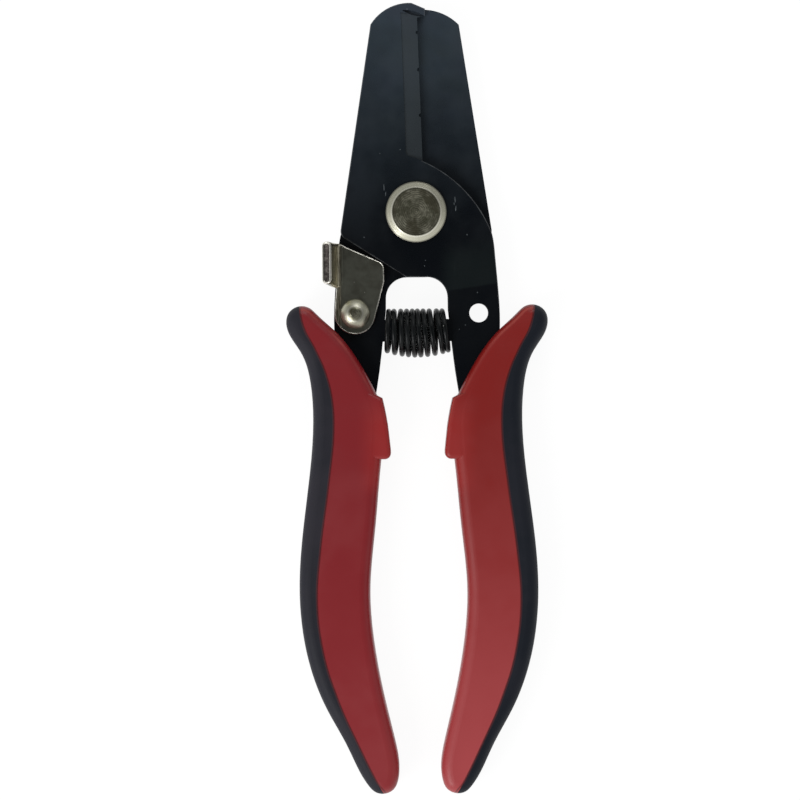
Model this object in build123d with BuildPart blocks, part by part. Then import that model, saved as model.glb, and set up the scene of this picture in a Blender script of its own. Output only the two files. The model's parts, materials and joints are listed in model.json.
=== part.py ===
from build123d import *
import os
from math import atan2, cos, hypot, radians, sin, tan

os.makedirs("parts", exist_ok=True)

# Plier-type wire stripper lying on its back, closed and locked. +Y runs from the handles
# to the jaws and +Z up through the pivot. Outlines are drawn in millimetres from the
# pivot's centre. One half of the tool is drawn; the other is the same turned over.
jaw_reach = 44.5
handle_reach = 123.5
pivot_y = (handle_reach - jaw_reach) / 2

# Thicknesses, and the level on which the two plates meet
plate_thickness = 2.0
plate_gap = 0.06
grip_thickness = 11.0
middle = grip_thickness / 2
front_level = middle + plate_gap / 2
front_face = front_level + plate_thickness
back_face = middle - plate_gap / 2
back_level = back_face - plate_thickness
ground_corner = 0.2

# Jaw of the front plate, on the left: tip, straight outer edge, heel and lower edge. The
# second number of a point near the tip is its depth below jaw_reach.
tip_corner = (-9.4, 4.55)
front_tip = {"depth": 0.0, "centre_x": -1.16, "radius": 9.75, "nose_x": -0.7}
back_tip = {"depth": 1.3, "centre_x": -1.83, "radius": 10.1, "nose_x": -1.4}
nose_drop = 1.25
beak_x = 2.2
beak_depth = 1.5
heel = (-16.24, -4.85)
heel_radius = 1.7
lower_edge_end = (-2.24, -13.8)
lower_edge_radius = 0.8

# Cutting edge with its ground relief, its scoop behind the nose and three small nicks
cut_top = (0.5, 3.1)
cut_bottom = (1.45, 10.85)
relief_top = (-3.0, 2.0)
relief_foot_x = -1.75
relief_step = 0.15
relief_slope = 6.0
relief_corner = 1.0
scoop_ends = ((-2.7, 1.55), (2.0, 2.8))
scoop_bulge = 0.45
scoop_depth = 0.9
nick_radius = 0.4
nick_depths = (6.3, 14.2, 23.9)

# Shoulder that slides over the other plate, tang with its tail, and arch between the tangs
shoulder_centre = (-8.8, -13.8)
shoulder_end = (15.8, -3.8)
tang_outer = ((16.75, -9.5), (17.65, -24.0), (16.2, -40.0), (15.9, -47.0))
tang_inner = ((8.0, -33.5), (8.7, -38.0), (9.9, -46.0))
tail_waist = (11.6, 17.0)
tail_x = 15.3
tail_radius = 2.0
tail_above_toe = 45.5
tang_inner_start = (0.12, -1)
shoulder_middle_angle = 45.0
arch_half_width = 6.5
arch_radius = 4.4
tang_hole = (13.15, -21.55)
tang_hole_radius = 2.0

# Spring between the tangs: its seats lean outwards, so that the coils fan
seat = (7.05, -25.15)
seat_tilt = 6.1
seat_half_length = 4.35
peg_length = 2.4
peg_width = 4.6
peg_corner = 0.6
wire_radius = 0.55
spring_end_radius = 4.15
spring_middle_radius = 4.7
spring_bow = 0.55
spring_half_turns = 20
spring_clearance = 0.05

# Pivot: a turned rivet with a chamfered head, closed over a collar on the back
pivot_radius = 4.0
pivot_clearance = 0.05
pivot_head_radius = 6.45
pivot_head_height = 1.5
pivot_chamfer_width = 1.35
pivot_chamfer_height = 1.0
pivot_play = 0.03
rivet_end_radius = 3.0
rivet_flare = 0.5
collar_clearance = 0.02

# Lock catch: sheet metal on the back plate, its corner against the jaw's lower edge
catch_thickness = 1.4
catch_play = 0.04
catch_gap = 0.15
catch_corner_radius = 1.7
catch_corner_run = 8.55
catch_foot_radius = 4.35
catch_waist = (-9.4, -14.3)
catch_waist_radius = 2.5
catch_rim = 0.15
tab_bend_x = -16.5
tab_bend_radius = 0.8
tab_span = (-16.3, -6.6)
tab_height = 5.4
tab_lean = 72.0
tab_corner = 1.6
tab_taper = 2.0
beyond_tab = 30.0

# Catch rivet, in the hole that both stampings have
catch_rivet_clearance = 0.05
catch_head_radius = 3.2
catch_head_height = 1.6
catch_head_flat = 0.9
catch_tail_radius = 3.0
catch_tail_height = 0.8

# Grips, from the horn's top to the toe. A point's first number is its half width. Its second
# is millimetres below the horn's top, a share of the bow, or millimetres above the toe's end.
horn_top = 19.9
horn_part = 33.0
toe_part = 14.0
grip_rounding = 2.4
mouth = ((8.5, 19.17), (11.8, 12.8), (16.9, 5.8), (21.4, 1.6))
horn = ((22.75, 0.4), (25.1, 0.0), (27.35, 1.6), (27.65, 4.45))
outer_edge = {"horn": ((24.7, 9.8), (22.6, 17.0), (22.2, 24.65)),
              "bow": ((23.5, 0.116), (25.35, 0.479), (24.4, 0.676), (19.8, 0.927)),
              "toe": ((15.45, 10.1), (11.0, 1.7), (9.5, 0.3), (7.6, 0.0), (5.6, 1.0))}
inner_edge = {"horn": ((7.85, 33.15),),
              "bow": ((9.2, 0.254), (10.35, 0.488), (9.7, 0.667), (7.0, 0.927)),
              "toe": ((5.2, 10.6), (4.7, 3.0))}
beyond_grip = 32.0
clip = ((10.5, 32.6), (5.74, 32.6), (5.74, 30.7))
clip_edge = ((6.3, 25.5), (7.45, 19.6))
clip_edge_slopes = ((0.15, 1), (0.25, 1))
clip_top = ((8.6, 19.0), (10.5, 18.65))
clip_corner = 1.3
clip_rounding = 1.0
clip_buried_x = 8.3
clip_step = 0.05

# Seam between the hard and the soft moulding, and the tongue that locks them together
seam = {"horn": ((24.95, -1.55), (24.3, 3.5), (21.6, 9.2), (19.35, 14.5), (18.1, 19.9), (17.8, 25.9)),
        "bow": ((18.9, 0.072), (20.9, 0.343), (21.6, 0.522), (20.5, 0.704), (17.5, 0.883)),
        "toe": ((13.0, 10.35), (9.25, 2.7), (7.0, -1.25))}
seam_clearance = 0.04
slot_clearance = 0.06
tongue_reach = 2.0
tongue_root = 1.0
tongue_thickness = 4.0
tongue_below_horn = 7.8
tongue_above_toe = 17.6


def level(height):
    """A drawing plane at this height whose origin is on the pivot's axis."""
    return Plane(origin=(0, pivot_y, height), z_dir=(0, 0, 1))


def on_circle(centre, radius, angle):
    """The point of a circle at an angle in radians."""
    return (centre[0] + radius * cos(angle), centre[1] + radius * sin(angle))


def below_tip(point):
    """A point near the jaw's tip, from its depth below the jaw's reach."""
    return (point[0], jaw_reach - point[1])


def below_horn(point, shift=0.0):
    """A point of the grip's upper part, from its depth below the horn's top."""
    return (point[0] + shift, -horn_top - point[1])


def above_toe(point, shift=0.0):
    """A point of the grip's toe, from its height above the toe's end."""
    return (point[0] + shift, point[1] - handle_reach)


def along_grip(line, shift=0.0):
    """All points of a line down the grip: its upper part, its bow and its toe."""
    bow_top = horn_top + horn_part
    bow_length = handle_reach - toe_part - bow_top
    return ([below_horn(point, shift) for point in line["horn"]]
            + [(x + shift, -bow_top - share * bow_length) for x, share in line["bow"]]
            + [above_toe(point, shift) for point in line["toe"]])


seat_top = on_circle(seat, seat_half_length, radians(90 + seat_tilt))
seat_foot = on_circle(seat, seat_half_length, radians(270 + seat_tilt))


def cutting_edge_x(height):
    """How far the straight cutting edge stands from the pivot's line at a height."""
    share = (height - cut_bottom[1]) / (below_tip(cut_top)[1] - cut_bottom[1])
    return cut_bottom[0] + share * (cut_top[0] - cut_bottom[0])


def draw_tang(growth=0.0):
    """Draws both sides of the tang and its tail in the open line, grown by a clearance."""
    shoulder_direction = (shoulder_end[1] - shoulder_centre[1], shoulder_centre[0] - shoulder_end[0])
    tail_foot = tail_above_toe - handle_reach
    waist_y = (tang_outer[-1][1] + tail_foot) / 2
    left_side = (seat_foot, *tang_inner, (tail_waist[0], waist_y),
                 (tail_x - tail_radius, tail_foot + tail_radius))
    right_side = (shoulder_end, *tang_outer, (tail_waist[1], waist_y),
                  (tail_x + tail_radius, tail_foot + tail_radius))
    left = [(x - growth, y) for x, y in left_side]
    right = [(x + growth, y) for x, y in right_side]
    Spline(*left, tangents=(tang_inner_start, (0, -1)))
    ThreePointArc(left[-1], (tail_x, tail_foot - growth), right[-1])
    Spline(*right, tangents=(shoulder_direction, (0, -1)))


def plate_outline(tip):
    """Outline of one stamping, with its jaw on the left and its tang on the right."""
    tip_centre = below_tip((tip["centre_x"], tip["depth"] + tip["radius"]))
    corner = below_tip(tip_corner)
    corner_angle = atan2(corner[1] - tip_centre[1], corner[0] - tip_centre[0])
    nose_angle = radians(90) - (tip["nose_x"] - tip_centre[0]) / tip["radius"]
    nose = on_circle(tip_centre, tip["radius"], nose_angle)
    crown = on_circle(tip_centre, tip["radius"], (corner_angle + nose_angle) / 2)
    beak = (beak_x, nose[1] - nose_drop)
    shoulder_radius = hypot(shoulder_end[0] - shoulder_centre[0], shoulder_end[1] - shoulder_centre[1])
    shoulder_middle = on_circle(shoulder_centre, shoulder_radius, radians(shoulder_middle_angle))
    with BuildSketch(level(front_level)) as outline:
        with BuildLine():
            ThreePointArc(nose, crown, corner)
            FilletPolyline(corner, heel, lower_edge_end, (arch_half_width, lower_edge_end[1]),
                           seat_top, seat_foot, radius=(heel_radius, lower_edge_radius, arch_radius, 0))
            draw_tang()
            ThreePointArc(cut_bottom, shoulder_middle, shoulder_end)
            Polyline(cut_bottom, below_tip(cut_top), (beak[0], beak[1] - beak_depth), beak, nose)
        make_face()
    return outline.sketch


def peg_outline():
    """Peg that stands out of the spring's seat, along the seat's own direction."""
    with BuildSketch(level(front_level)) as outline:
        with Locations(Location((seat[0], seat[1], 0), (0, 0, -seat_tilt))):
            RectangleRounded(2 * peg_length, peg_width, peg_corner)
    return outline.sketch


def relief_outline():
    """Relief beside the cutting edge, drawn on the slanting plane that is ground."""
    slope = radians(relief_slope)
    origin_height = front_face - relief_step + relief_top[0] * tan(slope)
    ground_plane = Plane(origin=(0, pivot_y, origin_height), x_dir=(cos(slope), 0, -sin(slope)),
                         z_dir=(sin(slope), 0, cos(slope)))
    shoulder_radius = hypot(cut_bottom[0] - shoulder_centre[0], cut_bottom[1] - shoulder_centre[1])
    with BuildSketch(ground_plane) as outline:
        with BuildLine():
            Polyline(below_tip(relief_top), (relief_foot_x, 0), (beak_x, 0),
                     below_tip((beak_x, scoop_ends[1][1])), close=True)
        make_face()
        with Locations(shoulder_centre):
            Circle(shoulder_radius, mode=Mode.SUBTRACT)
        fillet(outline.vertices().sort_by_distance((relief_foot_x, cut_bottom[1]))[0], relief_corner)
    return outline.sketch


def scoop_outline():
    """Lens-shaped hollow ground into the face behind the nose."""
    start, end = (below_tip(point) for point in scoop_ends)
    centre = ((start[0] + end[0]) / 2, (start[1] + end[1]) / 2)
    with BuildSketch(level(front_face)) as outline:
        with BuildLine():
            ThreePointArc(start, (centre[0], centre[1] + scoop_bulge), end)
            ThreePointArc(end, (centre[0], centre[1] - scoop_bulge), start)
        make_face()
    return outline.sketch


def stamping_holes():
    """Pivot bore, tang hole and the nicks in the cutting edge."""
    with BuildSketch(level(front_level)) as holes:
        Circle(pivot_radius + pivot_clearance)
        with Locations(tang_hole):
            Circle(tang_hole_radius)
        heights = [jaw_reach - depth for depth in nick_depths]
        with Locations(*[(cutting_edge_x(height), height) for height in heights]):
            Circle(nick_radius)
    return holes.sketch


def stamp_plate(tip):
    """Makes one plate in the open builder: stamping, ground corners, then the grinding."""
    extrude(plate_outline(tip), amount=plate_thickness)
    chamfer(faces().sort_by(Axis.Z)[-1].edges(), ground_corner)
    extrude(peg_outline(), amount=plate_thickness)
    extrude(relief_outline(), amount=plate_thickness, mode=Mode.SUBTRACT)
    extrude(scoop_outline(), amount=-scoop_depth, mode=Mode.SUBTRACT)
    extrude(stamping_holes(), amount=plate_thickness, mode=Mode.SUBTRACT)


with BuildPart() as front_plate:
    stamp_plate(front_tip)

turned_over = Location((0, 0, grip_thickness), (0, 180, 0))

with BuildPart() as back_stamping:
    stamp_plate(back_tip)

with BuildPart() as back_plate:
    with Locations(turned_over):
        add(back_stamping.part)

# Pivot rivet: head on the front, shank through both plates, end closed into the collar
head_seat = front_face + pivot_play
collar_face = back_level - pivot_head_height
with BuildPart() as pivot_rivet:
    with BuildSketch(Plane(origin=(0, pivot_y, 0), x_dir=(1, 0, 0), z_dir=(0, -1, 0))):
        with BuildLine():
            Polyline((0, collar_face), (rivet_end_radius + rivet_flare, collar_face),
                     (rivet_end_radius, collar_face + rivet_flare), (rivet_end_radius, back_level),
                     (pivot_radius, back_level), (pivot_radius, head_seat), (pivot_head_radius, head_seat),
                     (pivot_head_radius, head_seat + pivot_head_height - pivot_chamfer_height),
                     (pivot_head_radius - pivot_chamfer_width, head_seat + pivot_head_height),
                     (0, head_seat + pivot_head_height), close=True)
        make_face()
    revolve(axis=Axis((0, pivot_y, 0), (0, 0, 1)))

with BuildPart() as pivot_collar:
    with BuildSketch(Plane(origin=(0, pivot_y, 0), x_dir=(1, 0, 0), z_dir=(0, -1, 0))):
        bore = rivet_end_radius + collar_clearance
        with BuildLine():
            Polyline((bore, back_level), (bore, collar_face + rivet_flare),
                     (bore + rivet_flare, collar_face),
                     (pivot_head_radius - pivot_chamfer_width, collar_face),
                     (pivot_head_radius, collar_face + pivot_chamfer_height),
                     (pivot_head_radius, back_level), close=True)
        make_face()
    revolve(axis=Axis((0, pivot_y, 0), (0, 0, 1)))

# Lock catch: three circles and the tab's root give its outline. The corner circle stands
# off the jaw's lower edge by catch_gap, so it stays against that edge when sizes change.
catch_level = back_face + catch_play
catch_face = catch_level + catch_thickness
catch_pivot = (-tang_hole[0], tang_hole[1])
lower_edge_run = hypot(lower_edge_end[0] - heel[0], lower_edge_end[1] - heel[1])
edge_along = ((lower_edge_end[0] - heel[0]) / lower_edge_run, (lower_edge_end[1] - heel[1]) / lower_edge_run)
corner_offset = catch_corner_radius + catch_gap
catch_corner = (heel[0] + edge_along[0] * (catch_corner_run + heel_radius) + edge_along[1] * corner_offset,
                heel[1] + edge_along[1] * (catch_corner_run + heel_radius) - edge_along[0] * corner_offset)
tab_middle_radius = tab_bend_radius + catch_thickness / 2
tab_end_run = tab_height / tan(radians(tab_lean))

with BuildPart() as catch_tab:
    with BuildSketch(Plane(origin=(0, pivot_y + tab_span[0], catch_level + catch_thickness / 2),
                           x_dir=(1, 0, 0), z_dir=(0, -1, 0))):
        with BuildLine():
            FilletPolyline((tab_bend_x + tab_middle_radius, 0), (tab_bend_x - catch_thickness / 2, 0),
                           (tab_bend_x - catch_thickness / 2 - tab_end_run, tab_height),
                           radius=tab_middle_radius)
        trace(line_width=catch_thickness)
    extrude(amount=-(tab_span[1] - tab_span[0]))
    with BuildSketch(Plane(origin=(0, pivot_y, catch_level), x_dir=(0, 1, 0), z_dir=(1, 0, 0))):
        tab_top = tab_height + 2 * catch_thickness
        with BuildLine():
            FilletPolyline((tab_span[0], 0), (tab_span[0], catch_thickness + tab_bend_radius),
                           (tab_span[0] + tab_taper, tab_top), (tab_span[1], tab_top), (tab_span[1], 0),
                           close=True, radius=(0, 0, tab_corner, tab_corner, 0))
        make_face()
    extrude(amount=-beyond_tab, mode=Mode.INTERSECT)

with BuildPart() as lock_catch:
    with BuildSketch(level(catch_level)):
        with BuildLine(mode=Mode.PRIVATE) as tab_root:
            Polyline((tab_bend_x, tab_span[0]), (tab_bend_x, tab_span[1]))
        with BuildLine(mode=Mode.PRIVATE) as round_ends:
            CenterArc(catch_pivot, catch_foot_radius, 0, 360)
            CenterArc(catch_corner, catch_corner_radius, 0, 360)
            CenterArc(catch_waist, catch_waist_radius, 0, 360)
        make_hull(tab_root.edges() + round_ends.edges())
    extrude(amount=catch_thickness)
    rim = faces().sort_by(Axis.Z)[-1].edges()
    chamfer(rim.filter_by(lambda edge: edge.center().X > tab_bend_x + catch_rim), catch_rim)
    add(catch_tab.part)
    with BuildSketch(level(catch_level)):
        with Locations(catch_pivot):
            Circle(tang_hole_radius)
    extrude(amount=catch_thickness, mode=Mode.SUBTRACT)

catch_rivet_radius = tang_hole_radius - catch_rivet_clearance
with BuildPart() as catch_rivet:
    with BuildSketch(Plane(origin=(catch_pivot[0], pivot_y + catch_pivot[1], 0), x_dir=(1, 0, 0),
                           z_dir=(0, -1, 0))):
        head_base = catch_face + catch_play
        head_top = head_base + catch_head_height
        with BuildLine():
            Polyline((catch_head_flat, head_top), (0, head_top), (0, back_level - catch_tail_height),
                     (catch_tail_radius - catch_tail_height, back_level - catch_tail_height),
                     (catch_tail_radius, back_level), (catch_rivet_radius, back_level),
                     (catch_rivet_radius, head_base), (catch_head_radius, head_base))
            RadiusArc((catch_head_radius, head_base), (catch_head_flat, head_top),
                      -catch_head_radius)
        make_face()
    revolve(axis=Axis((catch_pivot[0], pivot_y + catch_pivot[1], 0), (0, 0, 1)))


def spring_point(index):
    """Where the wire's centre crosses the plates' level: above on even half turns, below on odd.

    Half turns are spread evenly along the axis, and the coils fan as the seats do. The
    squeezed spring bulges and bows downwards in its middle.
    """
    share = 2 * index / spring_half_turns - 1
    along = share * (seat[0] - wire_radius - spring_clearance)
    radius = spring_end_radius + (spring_middle_radius - spring_end_radius) * (1 - share ** 2)
    axis_y = seat[1] - spring_bow * (1 - share ** 2)
    side = 1 if index % 2 == 0 else -1
    return (along * (1 - side * radius * tan(radians(seat_tilt)) / seat[0]), axis_y + side * radius)


with BuildPart() as return_spring:
    for half_turn in range(spring_half_turns):
        start = spring_point(half_turn)
        end = spring_point(half_turn + 1)
        with BuildSketch(level(middle)):
            with Locations(start):
                Circle(wire_radius)
        turn_middle = ((start[0] + end[0]) / 2, pivot_y + (start[1] + end[1]) / 2, middle)
        side = 1 if half_turn % 2 == 0 else -1
        across = (side * (start[1] - end[1]), side * (end[0] - start[0]), 0)
        revolve(axis=Axis(turn_middle, across), revolution_arc=180)


def grip_side(shift, far_x, plane):
    """Everything on one side of the seam moved sideways by shift."""
    with BuildSketch(plane) as side:
        with BuildLine():
            line = Spline(*along_grip(seam, shift))
            Polyline(line @ 1, (far_x, (line @ 1).Y), (far_x, (line @ 0).Y), line @ 0)
        make_face()
    return side.sketch


def tongue_outline(clearance):
    """Tongue of the hard moulding inside the soft one, grown by a clearance."""
    top = clearance - horn_top - tongue_below_horn
    foot = tongue_above_toe - handle_reach - clearance
    reach = tongue_reach + clearance
    with BuildSketch(level(middle)) as outline:
        add(grip_side(reach, 0, Plane.XY))
        add(grip_side(-tongue_root, 0, Plane.XY), mode=Mode.SUBTRACT)
        with Locations((beyond_grip / 2, (top + foot) / 2)):
            Rectangle(beyond_grip, top - foot, mode=Mode.INTERSECT)
    return outline.sketch


with BuildPart() as grip_blank:
    with BuildSketch(level(0)):
        with BuildLine():
            Spline(*[below_horn(point) for point in mouth + horn], *along_grip(outer_edge),
                   *reversed(along_grip(inner_edge)), periodic=True)
        make_face()
    extrude(amount=grip_thickness)
    flat_faces = faces().sort_by(Axis.Z)
    fillet(flat_faces[0].edges() + flat_faces[-1].edges(), grip_rounding)

with BuildPart() as clip_blank:
    with BuildSketch(level(clip_step)):
        with BuildLine():
            foot = FilletPolyline(*[below_horn(point) for point in clip], below_horn(clip_edge[0]),
                                  radius=(clip_corner, 0))
            side = Spline(*[below_horn(point) for point in clip_edge], tangents=clip_edge_slopes)
            Polyline(side @ 1, *[below_horn(point) for point in clip_top], foot @ 0)
        make_face()
    extrude(amount=grip_thickness - 2 * clip_step)
    flat_faces = faces().sort_by(Axis.Z)
    outer_edges = flat_faces[0].edges() + flat_faces[-1].edges()
    fillet(outer_edges.filter_by(lambda edge: edge.center().X < clip_buried_x), clip_rounding)

with BuildPart() as right_grip_body:
    add(grip_blank.part)
    add(clip_blank.part)
    extrude(grip_side(0, beyond_grip, level(0)), amount=grip_thickness, mode=Mode.SUBTRACT)
    extrude(tongue_outline(0), amount=tongue_thickness / 2, both=True)
    with BuildSketch(level(front_level - slot_clearance)):
        with BuildLine():
            draw_tang(slot_clearance)
            Line((seat_foot[0] - slot_clearance, seat_foot[1]),
                 (shoulder_end[0] + slot_clearance, shoulder_end[1]))
        make_face()
    extrude(amount=plate_thickness + 2 * slot_clearance, mode=Mode.SUBTRACT)

with BuildPart() as right_grip_edge:
    add(grip_blank.part)
    extrude(grip_side(seam_clearance, 0, level(0)), amount=grip_thickness, mode=Mode.SUBTRACT)
    extrude(tongue_outline(seam_clearance), amount=tongue_thickness / 2 + seam_clearance, both=True,
            mode=Mode.SUBTRACT)

with BuildPart() as left_grip_body:
    with Locations(turned_over):
        add(right_grip_body.part)

with BuildPart() as left_grip_edge:
    with Locations(turned_over):
        add(right_grip_edge.part)

pieces = {
    "front_plate": front_plate,
    "back_plate": back_plate,
    "pivot_rivet": pivot_rivet,
    "pivot_collar": pivot_collar,
    "lock_catch": lock_catch,
    "catch_rivet": catch_rivet,
    "return_spring": return_spring,
    "left_grip_body": left_grip_body,
    "left_grip_edge": left_grip_edge,
    "right_grip_body": right_grip_body,
    "right_grip_edge": right_grip_edge,
}
for name, piece in pieces.items():
    piece.part.label = name
    export_step(piece.part, f"parts/{name}.step")
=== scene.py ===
"""Wire stripper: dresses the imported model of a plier-type wire stripper and sets its studio.

Every length is in metres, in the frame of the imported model: +Y from the handles to the jaws,
+Z out of the front face. Lengths in the tables below are in millimetres from the pivot's axis.
"""

import json

import bpy
import numpy as np
from mathutils import Matrix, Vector
from bpy.props import FloatProperty, FloatVectorProperty, IntProperty, PointerProperty


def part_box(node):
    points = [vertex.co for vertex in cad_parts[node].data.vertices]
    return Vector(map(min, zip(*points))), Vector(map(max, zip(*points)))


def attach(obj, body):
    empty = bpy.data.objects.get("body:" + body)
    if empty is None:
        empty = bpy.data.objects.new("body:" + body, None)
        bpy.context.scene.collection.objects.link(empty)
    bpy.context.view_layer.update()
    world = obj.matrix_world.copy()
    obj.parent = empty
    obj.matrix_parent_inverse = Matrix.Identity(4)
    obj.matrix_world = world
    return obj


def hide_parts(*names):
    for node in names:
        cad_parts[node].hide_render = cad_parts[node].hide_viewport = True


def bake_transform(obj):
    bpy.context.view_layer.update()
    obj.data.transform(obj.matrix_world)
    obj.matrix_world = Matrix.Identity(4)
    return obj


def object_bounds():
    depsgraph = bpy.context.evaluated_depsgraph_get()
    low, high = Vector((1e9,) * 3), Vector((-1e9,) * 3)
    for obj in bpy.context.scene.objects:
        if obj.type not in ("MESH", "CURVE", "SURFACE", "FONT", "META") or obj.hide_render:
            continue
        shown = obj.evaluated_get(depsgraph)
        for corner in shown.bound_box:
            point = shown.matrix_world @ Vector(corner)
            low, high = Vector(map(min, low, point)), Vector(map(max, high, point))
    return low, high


bl_info = {
    "name": "Wire stripper dressing",
    "version": (1, 0, 0),
    "blender": (4, 5, 0),
    "location": "View3D > Sidebar > Stripper",
    "description": "Finishes, spring, small wear and studio for a plier-type wire stripper",
    "category": "Object",
}

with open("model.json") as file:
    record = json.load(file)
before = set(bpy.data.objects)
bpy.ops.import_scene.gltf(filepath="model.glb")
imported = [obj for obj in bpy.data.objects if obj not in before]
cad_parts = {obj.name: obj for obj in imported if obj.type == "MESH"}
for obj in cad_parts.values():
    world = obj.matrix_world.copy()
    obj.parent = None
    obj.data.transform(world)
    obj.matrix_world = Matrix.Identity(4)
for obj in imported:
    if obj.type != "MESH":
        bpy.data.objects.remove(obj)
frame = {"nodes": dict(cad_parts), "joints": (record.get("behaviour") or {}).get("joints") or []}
CAD_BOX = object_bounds()

MM = 0.001
JOINTS = {joint["name"]: joint for joint in frame["joints"]}
PIVOT = np.array(JOINTS["pivot"]["pos_m"])
CATCH_PIVOT = np.array(JOINTS["catch_swing"]["pos_m"])
PLATE_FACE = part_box("front_plate")[1].z

# The photograph's frame: millimetres a pixel, its pixels a side, the pixel on which the
# pivot's axis stands, and how far the tool leans in it
PIXEL = 0.2126
PHOTO_SIDE = 800
PIVOT_PIXEL = (416.1, 212.0)
LEAN = 0.0077

# Turned heads: radius of the mottled face, outer radius, and roughness of the ring round it;
# then how far the mottled face of the domed rivet lies below its top
PIVOT_HEAD = (5.1 * MM, 6.45 * MM, 0.24)
COLLAR_HEAD = (3.0 * MM, 6.45 * MM, 0.3)
DOME_HEAD = (1.5 * MM, 3.2 * MM, 0.4)
DOME_DROP = 0.25 * MM

# Floor: half its side, strength of its white, and the share of that over its shadow
FLOOR_HALF = 1.5
FLOOR_GLOW = 1.07
FLOOR_SHARE = 0.86

# Where each coil of the spring crosses the front, from left to right, and the spring's form
COIL_FRONTS = (-6.35, -4.86, -3.3, -2.05, -0.75, 0.4, 1.75, 3.15, 4.88, 6.0)
SPRING_SEAT = (7.05, -25.15)
SPRING_TILT = 6.1
SPRING_BOW = 0.55
SPRING_RADII = (4.15, 4.7)
SPRING_END_INSET = 0.6

# Seam between the red and the black moulding: half width against depth below the pivot
SEAM = ((24.95, -18.35), (24.3, -23.4), (21.6, -29.1), (19.35, -34.4), (18.1, -39.8), (17.8, -45.8),
        (18.9, -57.0), (20.9, -72.3), (21.6, -82.4), (20.5, -92.7), (17.5, -102.9),
        (13.0, -113.15), (9.25, -120.8), (7.0, -124.75))
SEAM_TOP = -18.0
SEAM_FOOT = -125.0
SEAM_WIDEST = 32.0

# Scuffs that show on the front plate: place, half length, half width and lean from the Y axis
SCUFFS = ((-6.8, 5.3, 0.75, 0.09, 3), (-6.45, 3.9, 0.5, 0.08, -5), (8.3, 2.6, 0.7, 0.1, 4),
          (8.45, 0.7, 0.6, 0.12, -3), (8.1, 1.7, 0.3, 0.08, 0), (-11.1, -5.3, 0.14, 0.11, 30),
          (1.7, -11.5, 0.12, 0.1, 0), (1.9, -10.3, 0.11, 0.1, 0), (10.8, -4.9, 0.13, 0.1, 0),
          (12.9, -17.2, 0.14, 0.12, 50), (9.0, -25.0, 0.12, 0.1, 0), (-3.3, 13.3, 0.1, 0.09, 0),
          (-7.6, 12.5, 0.1, 0.09, 0), (10.3, -24.1, 0.1, 0.1, 0))

# Outline of the catch's flat: arcs of centre, radius and span in degrees, and single points,
# run through anticlockwise; then the section of its tab from the root to the end
CATCH_OUTLINE = (((-13.15, -21.55), 4.35, 176.2, 345.8), ((-9.4, -14.3), 2.5, -14.2, 0.0),
                 ((-8.6, -11.93), 1.7, 0.0, 66.3), (-15.0, -7.28), (-15.7, -6.85), (-16.6, -6.8),
                 (-16.95, -7.5), (-16.95, -15.5), (-17.1, -16.3))
CATCH_RIM = ((0.2, 0.0), (0.14, 0.0), (0.0, 0.14), (0.0, 1.26), (0.05, 1.40), (0.12, 1.44), (0.2, 1.43),
             (0.26, 1.4))
CATCH_HOLE = 2.06
CATCH_THICKNESS = 1.4
# Rings of the flat that show as its bright rim, and the one that leads up to them
CATCH_BRIGHT_RINGS = slice(6, 9)
CATCH_SHEAR_RING = 5
FLAT_NORMAL = 0.9999
TAB_LINE = ((-15.6, 0.7), (-18.3, 0.5), (-17.9, 2.7), (-19.08, 5.74))
TAB_MIDDLES = (-11.45, -10.75)
TAB_HALF_WIDTHS = (4.82, 4.5)
TAB_HALF_THICKNESSES = (0.7, 1.06)
TAB_END = ((-0.25, 0.0), (-0.08, 0.02), (0.06, 0.12), (0.1, 0.24), (0.04, 0.38), (-0.2, 0.5),
           (-0.3, 0.66))


def length_setting(name, description, default, low=0.0):
    """A length that the user may set, in metres."""
    return FloatProperty(name=name, description=description, default=default, min=low,
                         subtype="DISTANCE", unit="LENGTH")


def colour_setting(name, description, default):
    """A linear colour that the user may set."""
    return FloatVectorProperty(name=name, description=description, default=default, size=3,
                               min=0, max=1, subtype="COLOR")


class StripperSizes(bpy.types.PropertyGroup):
    """Sizes of the pieces that the dressing makes."""

    wire_radius: length_setting("Wire radius", "Radius of the spring's wire", 0.55 * MM, 0.1 * MM)
    wire_sides: IntProperty(name="Wire sides", description="Faces round the spring's wire",
                            default=20, min=8, max=48)
    steps_per_turn: IntProperty(name="Steps a turn", description="Rings of faces in one coil",
                                default=56, min=16, max=120)
    scuff_height: length_setting("Scuff height", "How far a scuff's burr stands up", 0.012 * MM)
    catch_steps: IntProperty(name="Catch steps", description="Points round the catch's outline",
                             default=300, min=60, max=800)


class StripperFinishes(bpy.types.PropertyGroup):
    """Colours of the finishes, linear."""

    oxide_dark: colour_setting("Oxide, dark", "Black oxide near the tangs", (0.0012, 0.0026, 0.0048))
    oxide_light: colour_setting("Oxide, light", "Black oxide near the jaws' tips", (0.033, 0.05, 0.066))
    # Bare steel of worn edges that also stands for painted highlights on the chamfers.
    worn_steel_and_highlight: colour_setting("Worn steel", "Bare steel on worn edges", (0.17, 0.19, 0.2))
    nickel: colour_setting("Nickel", "Nickel plate on pivot and rivet", (0.68, 0.67, 0.54))
    nickel_stain: colour_setting("Stained nickel", "Darker patches in the plate", (0.36, 0.36, 0.25))
    wire_black: colour_setting("Wire black", "Lacquer on the spring", (0.003, 0.004, 0.0045))
    grip_red: colour_setting("Grip red", "Hard moulding of the grips", (0.235, 0.011, 0.009))
    # Painted sheen: the paler red laid towards the toes and on the right grip.
    grip_red_sheen: colour_setting("Grip red, pale", "Paler, rubbed red", (0.43, 0.058, 0.064))
    grip_crimson: colour_setting("Grip crimson", "Cooler red of the left grip", (0.225, 0.015, 0.024))
    grip_black: colour_setting("Grip black", "Soft moulding of the grips", (0.0075, 0.0105, 0.018))
    # Paler black laid on by painted light from the left and by random dusty patches.
    grip_black_pale: colour_setting("Grip black, pale", "Paler, dusty black", (0.034, 0.029, 0.038))


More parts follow.
